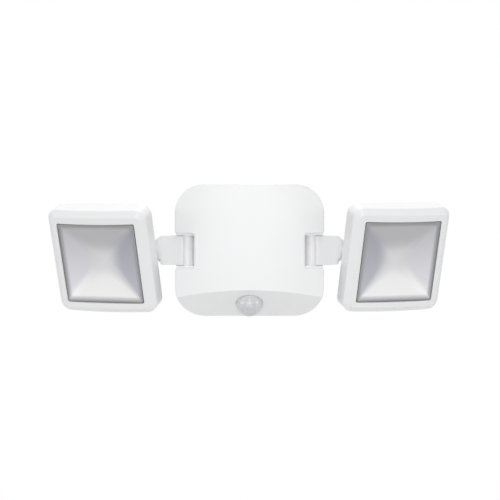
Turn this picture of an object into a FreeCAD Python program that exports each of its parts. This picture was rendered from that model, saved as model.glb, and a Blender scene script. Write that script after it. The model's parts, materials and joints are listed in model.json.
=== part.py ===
import FreeCAD, Part
import os
from math import atan2, cos, degrees, pi, radians, sin, sqrt, tan

# Battery security light with a motion sensor and two aimable square heads.
# Millimetres. The origin is the centre of the face that lies on the wall.
# The light looks along -Y, +X is to its right as seen from the front, +Z is up.

V = FreeCAD.Vector
ORIGIN = V(0, 0, 0)
AXIS_X = V(1, 0, 0)
AXIS_Y = V(0, 1, 0)
AXIS_Z = V(0, 0, 1)

# ---------------------------------------------------------------- driving sizes
# Housing
HOUSING_WIDTH = 139.2
HOUSING_HEIGHT = 125.4
HOUSING_DEPTH = 72.5            # wall to the crown of the curved front
HOUSING_CORNER = 28.0
FRONT_RADIUS = 314.0            # barrel-shaped front, curved from side to side
HOUSING_WALL = 2.5
FRONT_EDGE_RADIUS = 1.6
WALL_GAP = 1.0                  # the rim of the rear cover stands this far off the wall
COVER_SPLIT = 14.0              # wall to the joint between front housing and rear cover
GASKET_THICKNESS = 1.0
GASKET_WIDTH = 1.4

# Slanted face with the motion sensor
SENSOR_FACE_HEIGHT = 26.5       # front-view height of the slanted face at the middle
SENSOR_FACE_ANGLE = 45.0        # degrees that it leans back from upright
LENS_RADIUS = 12.5
LENS_WALL = 0.8
LENS_FLANGE_WIDTH = 2.6
LENS_FLANGE_THICKNESS = 1.2
LENS_COLLAR_WIDTH = 1.2
LENS_COLLAR_HEIGHT = 0.6
LENS_CLIP_THICKNESS = 1.6
SENSOR_CAN_RADIUS = 4.6
SENSOR_CAN_HEIGHT = 4.2
SENSOR_BOARD_SIZE = 22.0

# Notches for the arms, one in each side of the housing
NOTCH_HEIGHT = 32.0
NOTCH_DEPTH = 18.2              # from the side of the housing inwards
NOTCH_REACH = 15.5              # behind the yaw axis
NOTCH_CORNER = 2.4
YAW_PIN_INSET = 11.3            # from the side of the housing to the yaw axis
YAW_PIN_SETBACK = 9.9           # behind the front face where it meets the side
YAW_PIN_RADIUS = 2.5
YAW_PIN_BORE = 1.4              # hollow, so that the lead can pass
YAW_WASHER_RADIUS = 4.2
YAW_WASHER_THICKNESS = 0.6
YAW_BOSS_WALL = 2.2
YAW_BOSS_LENGTH = 5.0

# Arms
ARM_HEIGHT = 27.3
ARM_THICKNESS = 17.0
ARM_BLOCK_START = 1.0           # from the yaw axis
ARM_END_GAP = 0.5               # between the block and the side of the head
ARM_INNER_RADIUS = 1.8
ARM_END_RADIUS = 3.0
ARM_WALL = 2.4
HUB_RADIUS = 6.4                # of the arm, round the yaw pin
HUB_CHAMFER = 1.2
ARM_COVER_THICKNESS = 2.0
ARM_POST_RADIUS = 2.2
ARM_POST_OVERLAP = 0.9          # how far each screw post sinks into the pocket's wall
NECK_RADIUS = 8.2
JOURNAL_RADIUS = 6.0
RUNNING_CLEARANCE = 0.05
PART_CLEARANCE = 0.3
LEAD_RADIUS = 2.2
LEAD_OUTLET_RADIUS = 1.7        # from the journal into the head
LEFT_YAW = 17.6                 # outward turn of each arm as pictured
RIGHT_YAW = 19.5
LEFT_TILT = 19.0                # downward tilt of each head as pictured
RIGHT_TILT = 16.3
HEAD_REACH = 74.5               # yaw axis to the middle of the head

# Heads
HEAD_WIDTH = 98.0
HEAD_HEIGHT = 102.0
HEAD_DEPTH = 25.3
HEAD_CORNER = 9.5
HEAD_WALL = 2.4
HEAD_BACK_THICKNESS = 3.0
HEAD_BACK_RADIUS = 2.0
TILT_SETBACK = 37.5             # front crown of the head to the tilt axis
BEVEL_WIDTH = 5.5
BEVEL_DEPTH = 4.4
HEAD_EDGE_RADIUS = 1.1          # where the bevel meets the front and the sides
WINDOW_WIDTH = 77.7
WINDOW_HEIGHT = 79.3
WINDOW_DROP = 0.6               # middle of the window below the middle of the head
WINDOW_CORNER = 1.6
WINDOW_WALL = 1.6
RECESS_DEPTH = 11.0             # front crown to the flange of the diffuser
DIFFUSER_WALL = 1.8
DIFFUSER_GAP = 0.7              # between its skirt and the wall of the window
DIFFUSER_FLANGE_WIDTH = 3.4
DIFFUSER_RIM_DEPTH = 3.2        # front crown to the rim of the diffuser
DIFFUSER_RIM_INSET_X = 4.6      # rim to the edge of the window
DIFFUSER_RIM_INSET_Z = 5.4
DIFFUSER_RIM_RADIUS = 2.2
DISH_SLOPE = 13.0               # degrees, each of the four sides of the hollow front
DISH_BOWL_RADIUS = 8.0          # where the four sides run into the round bowl
BARREL_RADIUS = 9.8
BARREL_LENGTH = 26.0
WASHER_THICKNESS = 0.5
LED_BOARD_SIZE = 60.0
LED_PITCH = 15.0
LEDS_PER_SIDE = 4

# Batteries: four C cells in two rows
CELL_RADIUS = 13.1
CELL_LENGTH = 50.0
CELL_RIM = 0.8
CELL_NUB_RADIUS = 3.2
CELL_NUB_LENGTH = 1.6
CELL_ROW_GAP = 2.2
CONTACT_SPACE = 6.0
BATTERY_BOX_WALL = 1.8
BATTERY_DOOR_THICKNESS = 2.5
DOOR_LEDGE = 1.2
DOOR_CORNER = 1.5
DOOR_SCREW_LENGTH = 6.0
GRIP_INSET = 14.0               # from the edge of the box to the finger grips of the door
GRIP_WIDTH = 1.2
GRIP_DEPTH = 0.8
GRIP_LENGTH = 12.0
GRIP_SPACING = 28.0

# Circuit board
BOARD_CLEARANCE = 4.5           # to the inner walls of the notches
BOARD_HEIGHT = 62.0
BOARD_POST_INSET = 5.0
BOARD_THICKNESS = 1.6
BOARD_POST_RADIUS = 2.5
BOARD_HOLE_RADIUS = 1.2
BOARD_STANDOFF = 4.0

CAN_COMPONENTS = (               # share of the board across and up, radius, height
    (-0.25, 0.13, 5.0, 12.0),
    (-0.09, 0.19, 4.0, 11.0),
    (0.23, 0.10, 6.0, 7.0),
)
BOX_COMPONENTS = (               # share across and up, width, height, depth
    (-0.01, -0.06, 10.0, 6.0, 1.6),
    (0.12, 0.35, 6.0, 8.0, 5.0),
    (-0.36, 0.32, 8.0, 8.0, 7.0),
    (0.36, 0.32, 8.0, 8.0, 7.0),
)

# Mode switch on the underside
SWITCH_X = 27.0
SWITCH_Y = -27.0
SWITCH_TRAVEL = 6.0
SWITCH_KNOB_LENGTH = 6.0
SWITCH_KNOB_WIDTH = 4.0
SWITCH_RECESS_DEPTH = 1.2
SWITCH_BODY_HEIGHT = 7.0

# Wall bracket and fasteners
BRACKET_WIDTH = 96.0
BRACKET_HEIGHT = 96.0
BRACKET_THICKNESS = 3.0
BRACKET_HOLE_SPACING = 60.0
BRACKET_HOLE_RADIUS = 2.6
BRACKET_RECESS = 5.0            # wall to the back panel of the rear cover
HOOK_WIDTH = 10.0
HOOK_THICKNESS = 2.0
HOOK_X = 34.0
HOOK_Z = 40.0
SCREW_RADIUS = 1.5
SCREW_HEAD_RADIUS = 2.9
SCREW_HEAD_HEIGHT = 1.8
SCREW_LENGTH = 12.0
SCREW_BOSS_RADIUS = 4.0

# ---------------------------------------------------------------- derived places
HALF_WIDTH = HOUSING_WIDTH / 2
HALF_HEIGHT = HOUSING_HEIGHT / 2
FRONT_Y = -HOUSING_DEPTH
SPLIT_Y = -COVER_SPLIT
FRONT_SIDE_Y = FRONT_Y + FRONT_RADIUS - sqrt(FRONT_RADIUS ** 2 - HALF_WIDTH ** 2)
YAW_X = HALF_WIDTH - YAW_PIN_INSET
YAW_Y = FRONT_SIDE_Y + YAW_PIN_SETBACK
NOTCH_BACK_Y = YAW_Y + NOTCH_REACH
SENSOR_SLOPE = radians(SENSOR_FACE_ANGLE)
SENSOR_FACE_TOP = -HALF_HEIGHT + SENSOR_FACE_HEIGHT
SENSOR_OUT = V(0, -cos(SENSOR_SLOPE), -sin(SENSOR_SLOPE))
SENSOR_DOWN = V(0, sin(SENSOR_SLOPE), -cos(SENSOR_SLOPE))
SENSOR_CENTRE = V(0, FRONT_Y, SENSOR_FACE_TOP) + SENSOR_DOWN * (
    SENSOR_FACE_HEIGHT / cos(SENSOR_SLOPE) / 2)
PANEL_BACK_Y = -BRACKET_RECESS
PANEL_FRONT_Y = PANEL_BACK_Y - BATTERY_DOOR_THICKNESS
BOX_HALF_X = CELL_LENGTH + CONTACT_SPACE
CELL_ROW_Z = CELL_RADIUS + CELL_ROW_GAP / 2
BOX_HALF_Z = CELL_ROW_Z + CELL_RADIUS + DOOR_LEDGE + PART_CLEARANCE
CELL_Y = PANEL_FRONT_Y - PART_CLEARANCE - CELL_RADIUS
BOX_FRONT_Y = CELL_Y - CELL_RADIUS - PART_CLEARANCE - BATTERY_BOX_WALL
BOARD_BACK_Y = BOX_FRONT_Y - BOARD_STANDOFF
BOARD_FRONT_Y = BOARD_BACK_Y - BOARD_THICKNESS
BOARD_WIDTH = HOUSING_WIDTH - 2 * (NOTCH_DEPTH + HOUSING_WALL + BOARD_CLEARANCE)
PIN_HALF_LENGTH = NOTCH_HEIGHT / 2 + YAW_BOSS_LENGTH
ARM_HALF = ARM_THICKNESS / 2
ARM_BLOCK_END = HEAD_REACH - HEAD_WIDTH / 2 - ARM_END_GAP
HEAD_FRONT_Y = -TILT_SETBACK
HEAD_REAR_Y = HEAD_FRONT_Y + HEAD_DEPTH
HEAD_SPLIT_Y = HEAD_REAR_Y - HEAD_BACK_THICKNESS
DIFFUSER_Y = HEAD_FRONT_Y + RECESS_DEPTH
NECK_END = HEAD_REACH - BARREL_LENGTH / 2 - WASHER_THICKNESS
JOURNAL_END = HEAD_REACH + BARREL_LENGTH / 2 + WASHER_THICKNESS / 2
COVER_BOSS_X = HALF_WIDTH - HOUSING_CORNER / 2 - 2.0
COVER_BOSS_Z = HALF_HEIGHT - HOUSING_CORNER / 2 - 2.0
HEAD_SCREW_X = HEAD_WIDTH / 2 - HEAD_WALL - SCREW_BOSS_RADIUS
HEAD_SCREW_Z = HEAD_HEIGHT / 2 - HEAD_WALL - SCREW_BOSS_RADIUS


# ---------------------------------------------------------------- shape helpers
def front_view(y):
    """Places a point of the front view (x, z) in the plane at depth y."""
    return lambda u, v: V(u, y, v)


def rounded_wire(corners, place):
    """Closed outline through corners (u, v, radius), each rounded by an arc."""
    arcs = []
    count = len(corners)
    for i, (u, v, radius) in enumerate(corners):
        corner = V(u, v, 0)
        before = V(corners[i - 1][0], corners[i - 1][1], 0)
        after = V(corners[(i + 1) % count][0], corners[(i + 1) % count][1], 0)
        back = (before - corner).normalize()
        ahead = (after - corner).normalize()
        half = back.getAngle(ahead) / 2
        if radius <= 0:
            arcs.append((corner, corner, corner))
            continue
        reach = radius / tan(half)
        inward = (back + ahead).normalize()
        middle = corner + inward * (radius / sin(half) - radius)
        arcs.append((corner + back * reach, middle, corner + ahead * reach))
    edges = []
    for i, (start, middle, end) in enumerate(arcs):
        if start.distanceToPoint(end) > 1e-6:
            edges.append(Part.Arc(place(start.x, start.y), place(middle.x, middle.y),
                                  place(end.x, end.y)).toShape())
        following = arcs[(i + 1) % count][0]
        if end.distanceToPoint(following) > 1e-6:
            edges.append(Part.makeLine(place(end.x, end.y), place(following.x, following.y)))
    return Part.Wire(edges)


def rectangle_corners(width, height, radius, centre_u=0.0, centre_v=0.0):
    return [(centre_u - width / 2, centre_v - height / 2, radius),
            (centre_u + width / 2, centre_v - height / 2, radius),
            (centre_u + width / 2, centre_v + height / 2, radius),
            (centre_u - width / 2, centre_v + height / 2, radius)]


def plate(width, height, radius, y_front, y_back, centre_x=0.0, centre_z=0.0):
    """Rounded rectangle of the front view, from y_front back to y_back."""
    corners = rectangle_corners(width, height, radius, centre_x, centre_z)
    wire = rounded_wire(corners, front_view(y_front))
    return Part.Face(wire).extrude(V(0, y_back - y_front, 0))


def ring(width, height, radius, band, y_front, y_back, centre_z=0.0):
    """Rounded rectangular ring, band wide."""
    outer = plate(width, height, radius, y_front, y_back, 0, centre_z)
    inner = plate(width - 2 * band, height - 2 * band, max(radius - band, 0.2),
                  y_front - 1, y_back + 1, 0, centre_z)
    return outer.cut(inner)


def block(x0, x1, y0, y1, z0, z1):
    return Part.makeBox(x1 - x0, y1 - y0, z1 - z0, V(x0, y0, z0))


def rod(radius, start, end):
    """Cylinder between two points."""
    axis = end - start
    return Part.makeCylinder(radius, axis.Length, start, axis)


def tube(outer_radius, inner_radius, start, end):
    axis = (end - start).normalize()
    return rod(outer_radius, start, end).cut(rod(inner_radius, start - axis, end + axis))


def joined(shapes):
    """Fuses shapes that meet into one solid."""
    whole = shapes[0].multiFuse(shapes[1:]) if len(shapes) > 1 else shapes[0]
    return whole.removeSplitter()


def pan_screw(seat, inward, length=SCREW_LENGTH, cross=True):
    """Screw with a bevelled head; seat is under the head, inward points along the shank."""
    inward = V(inward).normalize()
    outward = inward * -1
    head_top = seat + outward * SCREW_HEAD_HEIGHT
    shank = rod(SCREW_RADIUS, seat + outward * 0.2, seat + inward * (length - SCREW_RADIUS))
    tip = Part.makeCone(SCREW_RADIUS, SCREW_RADIUS * 0.4, SCREW_RADIUS,
                        seat + inward * (length - SCREW_RADIUS), inward)
    head = rod(SCREW_HEAD_RADIUS, seat, head_top)
    rim = [edge for edge in head.Edges
           if all(abs((vertex.Point - head_top).dot(outward)) < 1e-6 for vertex in edge.Vertexes)]
    head = head.makeChamfer(SCREW_HEAD_HEIGHT * 0.45, rim)
    screw = joined([head, shank, tip])
    if cross:
        slot = block(-SCREW_HEAD_RADIUS * 0.6, SCREW_HEAD_RADIUS * 0.6, -0.35, 0.35, -1.0, 1.0)
        other = block(-0.35, 0.35, -SCREW_HEAD_RADIUS * 0.6, SCREW_HEAD_RADIUS * 0.6, -1.0, 1.0)
        recess = slot.fuse(other)
        recess.Placement = FreeCAD.Placement(head_top, FreeCAD.Rotation(AXIS_Z, outward))
        screw = screw.cut(recess)
    return screw


def edges_of(shape, keep):
    return [edge for edge in shape.Edges if keep(edge)]


def is_along(edge, axis):
    if len(edge.Vertexes) < 2:
        return False
    chord = edge.Vertexes[-1].Point - edge.Vertexes[0].Point
    straight = abs(chord.Length - edge.Length) < 1e-6
    return straight and chord.Length > 1e-6 and abs(abs(chord.normalize().dot(axis)) - 1) < 1e-6


# ---------------------------------------------------------------- housing
def housing_outline(inset, notched):
    """Corners of the front-view outline, inset all round, with or without the notches."""
    half_x = HALF_WIDTH - inset
    half_z = HALF_HEIGHT - inset
    corner = HOUSING_CORNER - inset
    if not notched:
        return rectangle_corners(2 * half_x, 2 * half_z, corner)
    notch_x = HALF_WIDTH - NOTCH_DEPTH - inset
    notch_z = NOTCH_HEIGHT / 2 + inset
    return [(-half_x, -half_z, corner), (half_x, -half_z, corner),
            (half_x, -notch_z, NOTCH_CORNER), (notch_x, -notch_z, NOTCH_CORNER),
            (notch_x, notch_z, NOTCH_CORNER), (half_x, notch_z, NOTCH_CORNER),
            (half_x, half_z, corner), (-half_x, half_z, corner),
            (-half_x, notch_z, NOTCH_CORNER), (-notch_x, notch_z, NOTCH_CORNER),
            (-notch_x, -notch_z, NOTCH_CORNER), (-half_x, -notch_z, NOTCH_CORNER)]


def slanted_cutter(inset):
    """Everything in front of and below the slanted sensor face, moved in by inset."""
    reach = HOUSING_HEIGHT + HOUSING_DEPTH
    on_face = V(0, FRONT_Y, SENSOR_FACE_TOP) - SENSOR_OUT * inset
    upper = on_face - SENSOR_DOWN * reach
    lower = on_face + SENSOR_DOWN * reach
    points = [upper, lower, lower + SENSOR_OUT * reach, upper + SENSOR_OUT * reach, upper]
    points = [point - AXIS_X * HOUSING_WIDTH for point in points]
    return Part.Face(Part.makePolygon(points)).extrude(AXIS_X * (2 * HOUSING_WIDTH))


def housing_form(inset, back_y):
    """Outer form of the front housing, moved in by inset on every side but the back."""
    notch_back = NOTCH_BACK_Y + inset
    front_reach = FRONT_Y - 1
    notched = Part.Face(rounded_wire(housing_outline(inset, True), front_view(front_reach)))
    plain = Part.Face(rounded_wire(housing_outline(inset, False), front_view(notch_back)))
    form = notched.extrude(V(0, notch_back - front_reach, 0))
    form = joined([form, plain.extrude(V(0, back_y - notch_back, 0))])
    barrel = Part.makeCylinder(FRONT_RADIUS - inset, 2 * HOUSING_HEIGHT,
                               V(0, FRONT_Y + FRONT_RADIUS, -HOUSING_HEIGHT), AXIS_Z)
    return form.common(barrel).cut(slanted_cutter(inset))


def is_front_face(face):
    """The curved front or the slanted face below it."""
    surface = face.Surface
    if isinstance(surface, Part.Cylinder):
        return abs(surface.Radius - FRONT_RADIUS) < 1e-3
    return isinstance(surface, Part.Plane) and abs(abs(surface.Axis.dot(SENSOR_OUT)) - 1) < 1e-6


def round_front_edges(form):
    """Rounds the rim of the front, but not the crease above the slanted face."""
    seen = {}
    for face in form.Faces:
        if is_front_face(face):
            for edge in face.Edges:
                seen.setdefault(edge.hashCode(), []).append(edge)
    rim = [found[0] for found in seen.values() if len(found) == 1]
    return form.makeFillet(FRONT_EDGE_RADIUS, rim)


def cover_boss_places():
    return [(sx * COVER_BOSS_X, sz * COVER_BOSS_Z) for sx in (-1, 1) for sz in (-1, 1)]


def switch_slot(extra, z0, z1):
    length = SWITCH_KNOB_LENGTH + SWITCH_TRAVEL
    return block(SWITCH_X - SWITCH_KNOB_LENGTH / 2 - extra,
                 SWITCH_X - SWITCH_KNOB_LENGTH / 2 + length + extra,
                 SWITCH_Y - SWITCH_KNOB_WIDTH / 2 - extra,
                 SWITCH_Y + SWITCH_KNOB_WIDTH / 2 + extra, z0, z1)


def sensor_point(out, down=0.0, across=0.0):
    """A point beside the middle of the slanted face, out of it, down it and across it."""
    return SENSOR_CENTRE + SENSOR_OUT * out + SENSOR_DOWN * down + AXIS_X * across


def lens_seat_radius():
    return LENS_RADIUS + PART_CLEARANCE / 2


def sensor_board_depth():
    """Depth of the sensor board's front below the outer slanted face."""
    return HOUSING_WALL + LENS_FLANGE_THICKNESS + LENS_CLIP_THICKNESS + SENSOR_CAN_HEIGHT


def front_housing():
    outer = round_front_edges(housing_form(0.0, SPLIT_Y))
    inner = housing_form(HOUSING_WALL, SPLIT_Y + 1)
    shell = outer.cut(inner)
    bosses = []
    for x, z in cover_boss_places():
        bosses.append(rod(SCREW_BOSS_RADIUS, V(x, SPLIT_Y, z), V(x, FRONT_Y, z)).common(inner))
    for sign in (-1, 1):
        for level in (-1, 1):
            start = V(sign * YAW_X, YAW_Y, level * NOTCH_HEIGHT / 2)
            end = V(sign * YAW_X, YAW_Y, level * PIN_HALF_LENGTH)
            bosses.append(rod(YAW_PIN_RADIUS + YAW_BOSS_WALL, start, end).common(inner))
    for across in (-1, 1):
        foot = sensor_point(-HOUSING_WALL / 2, 0, across * (SENSOR_BOARD_SIZE - 3.0))
        tip = sensor_point(-sensor_board_depth(), 0, across * (SENSOR_BOARD_SIZE - 3.0))
        bosses.append(rod(2.4, foot, tip).common(inner))
    collar = rod(lens_seat_radius() + LENS_COLLAR_WIDTH, sensor_point(-HOUSING_WALL / 2),
                 sensor_point(LENS_COLLAR_HEIGHT))
    body = joined([shell, collar] + bosses)
    holes = [rod(lens_seat_radius(), sensor_point(-HOUSING_WALL - 5), sensor_point(5))]
    for x, z in cover_boss_places():
        holes.append(rod(SCREW_RADIUS, V(x, SPLIT_Y + 1, z), V(x, SPLIT_Y - SCREW_LENGTH, z)))
    for sign in (-1, 1):
        holes.append(rod(YAW_PIN_RADIUS, V(sign * YAW_X, YAW_Y, -PIN_HALF_LENGTH),
                         V(sign * YAW_X, YAW_Y, PIN_HALF_LENGTH)))
    bottom = -HALF_HEIGHT
    holes.append(switch_slot(PART_CLEARANCE, bottom - 1, bottom + HOUSING_WALL + 1))
    holes.append(switch_slot(3.0, bottom - 1, bottom + SWITCH_RECESS_DEPTH))
    return body.cut(Part.makeCompound(holes))


def housing_gasket():
    inset = (HOUSING_WALL - GASKET_WIDTH) / 2
    return ring(HOUSING_WIDTH - 2 * inset, HOUSING_HEIGHT - 2 * inset, HOUSING_CORNER - inset,
                GASKET_WIDTH, SPLIT_Y, SPLIT_Y + GASKET_THICKNESS)


def hook_places():
    return [(sx * HOOK_X, sz * HOOK_Z) for sx in (-1, 1) for sz in (-1, 1)]


def rear_cover():
    rim_back = -WALL_GAP
    rim = ring(HOUSING_WIDTH, HOUSING_HEIGHT, HOUSING_CORNER, HOUSING_WALL, SPLIT_Y, rim_back)
    panel = plate(HOUSING_WIDTH - HOUSING_WALL, HOUSING_HEIGHT - HOUSING_WALL,
                  HOUSING_CORNER - HOUSING_WALL / 2, PANEL_FRONT_Y, PANEL_BACK_Y)
    box = plate(2 * (BOX_HALF_X + BATTERY_BOX_WALL), 2 * (BOX_HALF_Z + BATTERY_BOX_WALL), 3.0,
                BOX_FRONT_Y, PANEL_FRONT_Y + 0.5)
    space = plate(2 * BOX_HALF_X, 2 * BOX_HALF_Z, 1.5, BOX_FRONT_Y + BATTERY_BOX_WALL, 0)
    ledge_y = PANEL_FRONT_Y - GASKET_THICKNESS
    ledge = ring(2 * BOX_HALF_X + 0.4, 2 * BOX_HALF_Z + 0.4, DOOR_CORNER, DOOR_LEDGE + 0.2,
                 ledge_y - 1.0, ledge_y)
    divider = block(-BOX_HALF_X - 0.5, BOX_HALF_X + 0.5, BOX_FRONT_Y + 0.5, ledge_y - 2.0,
                    -CELL_ROW_GAP * 0.35, CELL_ROW_GAP * 0.35)
    pieces = [rim, panel, box]
    for x, z in cover_boss_places():
        pieces.append(rod(SCREW_BOSS_RADIUS, V(x, SPLIT_Y, z), V(x, PANEL_BACK_Y, z)))
    for x, z in board_post_places():
        pieces.append(rod(BOARD_POST_RADIUS, V(x, BOX_FRONT_Y + 0.5, z), V(x, BOARD_BACK_Y, z)))
    body = joined(pieces).cut(space)
    bosses = [rod(2.7, V(x, ledge_y - 6.0, 0), V(x, PANEL_FRONT_Y, 0)) for x in door_screw_places()]
    body = joined([body, ledge, divider] + bosses)
    holes = []
    for x, z in cover_boss_places():
        holes.append(rod(SCREW_RADIUS + 0.2, V(x, SPLIT_Y - 1, z), V(x, 0, z)))
        holes.append(rod(SCREW_HEAD_RADIUS + 0.3, V(x, PANEL_BACK_Y - SCREW_HEAD_HEIGHT, z),
                         V(x, 0, z)))
    for x in door_screw_places():
        holes.append(rod(SCREW_RADIUS, V(x, ledge_y - 5.0, 0), V(x, 0, 0)))
    for x, z in hook_places():
        holes.append(block(x - HOOK_WIDTH / 2 - PART_CLEARANCE, x + HOOK_WIDTH / 2 + PART_CLEARANCE,
                           PANEL_FRONT_Y - 1, PANEL_BACK_Y + 1,
                           z - HOOK_THICKNESS - PART_CLEARANCE, z + 2 * HOOK_THICKNESS))
    lock_y = lock_screw_y()
    holes.append(rod(SCREW_RADIUS + 0.2, V(0, lock_y, -HALF_HEIGHT - 1),
                     V(0, lock_y, -HALF_HEIGHT + HOUSING_WALL + 1)))
    groove = ring(HOUSING_WIDTH - HOUSING_WALL + GASKET_WIDTH,
                  HOUSING_HEIGHT - HOUSING_WALL + GASKET_WIDTH,
                  HOUSING_CORNER - (HOUSING_WALL - GASKET_WIDTH) / 2, GASKET_WIDTH,
                  SPLIT_Y - 1, SPLIT_Y + GASKET_THICKNESS)
    return body.cut(Part.makeCompound(holes + [groove]))


def housing_screws():
    screws = []
    for x, z in cover_boss_places():
        seat = V(x, PANEL_BACK_Y - SCREW_HEAD_HEIGHT, z)
        screws.append(pan_screw(seat, V(0, -1, 0), COVER_SPLIT))
    return Part.makeCompound(screws)


# ---------------------------------------------------------------- batteries
def door_screw_places():
    return (-CELL_LENGTH * 0.5, CELL_LENGTH * 0.5)


def battery_door():
    gap = PART_CLEARANCE
    door = plate(2 * (BOX_HALF_X - gap), 2 * (BOX_HALF_Z - gap), DOOR_CORNER,
                 PANEL_FRONT_Y, PANEL_BACK_Y)
    holes = []
    for x in door_screw_places():
        holes.append(rod(SCREW_RADIUS + 0.2, V(x, PANEL_FRONT_Y - 1, 0), V(x, 0, 0)))
        holes.append(rod(SCREW_HEAD_RADIUS + 0.3, V(x, PANEL_BACK_Y - SCREW_HEAD_HEIGHT, 0),
                         V(x, 0, 0)))
    grip_x = BOX_HALF_X - GRIP_INSET
    grips = [block(grip_x, grip_x + GRIP_WIDTH, PANEL_BACK_Y - GRIP_DEPTH, 0,
                   z - GRIP_LENGTH / 2, z + GRIP_LENGTH / 2)
             for z in (-GRIP_SPACING / 2, GRIP_SPACING / 2)]
    return door.cut(Part.makeCompound(holes + grips))


def battery_door_gasket():
    return ring(2 * BOX_HALF_X, 2 * BOX_HALF_Z, DOOR_CORNER, DOOR_LEDGE,
                PANEL_FRONT_Y - GASKET_THICKNESS, PANEL_FRONT_Y)


def battery_door_screws():
    screws = []
    for x in door_screw_places():
        seat = V(x, PANEL_BACK_Y - SCREW_HEAD_HEIGHT, 0)
        screws.append(pan_screw(seat, V(0, -1, 0), DOOR_SCREW_LENGTH))
    return Part.makeCompound(screws)


def battery_cells():
    cells = []
    body_length = CELL_LENGTH - CELL_NUB_LENGTH
    for row, direction in ((-1, 1), (1, -1)):
        for start in (-CELL_LENGTH, 0.0):
            low = V(start * direction, CELL_Y, row * CELL_ROW_Z)
            along = AXIS_X * direction
            body = rod(CELL_RADIUS, low, low + along * body_length)
            rims = edges_of(body, lambda edge: not is_along(edge, AXIS_X))
            body = body.makeChamfer(CELL_RIM, rims)
            nub = rod(CELL_NUB_RADIUS, low + along * (body_length - 0.5),
                      low + along * (CELL_LENGTH - 0.05))
            cells.append(joined([body, nub]))
    return Part.makeCompound(cells)


def battery_contacts():
    """Spring leaves at the ends of the rows; one pair is bridged by a common plate."""
    contacts = []
    half_y = CELL_RADIUS * 0.6
    for side in (-1, 1):
        x_plate = side * (BOX_HALF_X - 0.1)
        x_tip = side * (CELL_LENGTH + 0.1)
        leaves = []
        for row in (-1, 1):
            z = row * CELL_ROW_Z
            outline = [V(x_plate, CELL_Y - half_y, z - 4), V(x_plate - side * 0.6, CELL_Y - half_y, z - 4),
                       V(x_tip, CELL_Y, z - 4), V(x_plate - side * 0.6, CELL_Y + half_y, z - 4),
                       V(x_plate, CELL_Y + half_y, z - 4), V(x_tip + side * 0.8, CELL_Y, z - 4),
                       V(x_plate, CELL_Y - half_y, z - 4)]
            leaf = Part.Face(Part.makePolygon(outline)).extrude(AXIS_Z * 8)
            back = block(min(x_plate, x_plate - side * 0.6), max(x_plate, x_plate - side * 0.6),
                         CELL_Y - half_y - 1, CELL_Y + half_y, z - 4, z + 4)
            leaves.append(joined([leaf, back]))
        if side < 0:
            bridge = block(x_plate, x_plate + 0.6, CELL_Y - half_y - 3, CELL_Y - half_y + 1,
                           -CELL_ROW_Z - 4, -1.2)
            other = block(x_plate, x_plate + 0.6, CELL_Y - half_y - 3, CELL_Y - half_y + 1,
                          1.2, CELL_ROW_Z + 4)
            contacts += [joined([leaves[0], bridge]), joined([leaves[1], other])]
        else:
            contacts += leaves
    return Part.makeCompound(contacts)


# ---------------------------------------------------------------- electronics
def board_post_places():
    x = BOARD_WIDTH / 2 - BOARD_POST_INSET
    z = BOARD_HEIGHT / 2 - BOARD_POST_INSET
    return [(sx * x, sz * z) for sx in (-1, 1) for sz in (-1, 1)]


def control_board():
    board = plate(BOARD_WIDTH, BOARD_HEIGHT, 2.0, BOARD_FRONT_Y, BOARD_BACK_Y)
    holes = [rod(BOARD_HOLE_RADIUS, V(x, BOARD_FRONT_Y - 1, z), V(x, BOARD_BACK_Y + 1, z))
             for x, z in board_post_places()]
    return board.cut(Part.makeCompound(holes))


def board_components():
    """Capacitors, a coil, the controller and two connectors, placed by shares of the board."""
    y = BOARD_FRONT_Y

    def at(share_x, share_z, depth=0.0):
        return V(share_x * BOARD_WIDTH, y - depth, share_z * BOARD_HEIGHT)

    parts = [rod(radius, at(share_x, share_z), at(share_x, share_z, height))
             for share_x, share_z, radius, height in CAN_COMPONENTS]
    for share_x, share_z, width, height, depth in BOX_COMPONENTS:
        corner = at(share_x, share_z, depth)
        parts.append(Part.makeBox(width, depth, height, corner - V(width / 2, 0, height / 2)))
    return Part.makeCompound(parts)


def sensor_board():
    front = -sensor_board_depth()
    centre = sensor_point(front - BOARD_THICKNESS)
    half = SENSOR_BOARD_SIZE
    board = block(-half, half, -SENSOR_BOARD_SIZE * 0.3, SENSOR_BOARD_SIZE * 0.3, 0, BOARD_THICKNESS)
    board.Placement = FreeCAD.Placement(centre, FreeCAD.Rotation(AXIS_Z, SENSOR_OUT))
    return board


def motion_sensor():
    """Round metal can with a square filter window, standing on the sensor board."""
    base = -sensor_board_depth()
    flange = rod(SENSOR_CAN_RADIUS, sensor_point(base), sensor_point(base + 0.5))
    can = rod(SENSOR_CAN_RADIUS - 0.5, sensor_point(base), sensor_point(base + SENSOR_CAN_HEIGHT))
    window = block(-2.0, 2.0, -1.5, 1.5, -0.3, 1.0)
    window.Placement = FreeCAD.Placement(sensor_point(base + SENSOR_CAN_HEIGHT),
                                         FreeCAD.Rotation(AXIS_Z, SENSOR_OUT))
    return joined([flange, can]).cut(window)


def sensor_lens():
    """Domed lens whose flange lies behind the slanted face."""
    dome = Part.makeSphere(LENS_RADIUS, SENSOR_CENTRE)
    behind = rod(LENS_RADIUS * 1.5, sensor_point(0), sensor_point(-2 * LENS_RADIUS))
    dome = dome.cut(behind)
    skirt = rod(LENS_RADIUS, sensor_point(-HOUSING_WALL - LENS_FLANGE_THICKNESS), sensor_point(0))
    flange = rod(LENS_RADIUS + LENS_FLANGE_WIDTH,
                 sensor_point(-HOUSING_WALL - LENS_FLANGE_THICKNESS), sensor_point(-HOUSING_WALL))
    lens = joined([dome, skirt, flange])
    hollow = Part.makeSphere(LENS_RADIUS - LENS_WALL, SENSOR_CENTRE).cut(behind)
    bore = rod(LENS_RADIUS - LENS_WALL, sensor_point(-HOUSING_WALL - 5), sensor_point(0))
    return lens.cut(joined([hollow, bore]))


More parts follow.
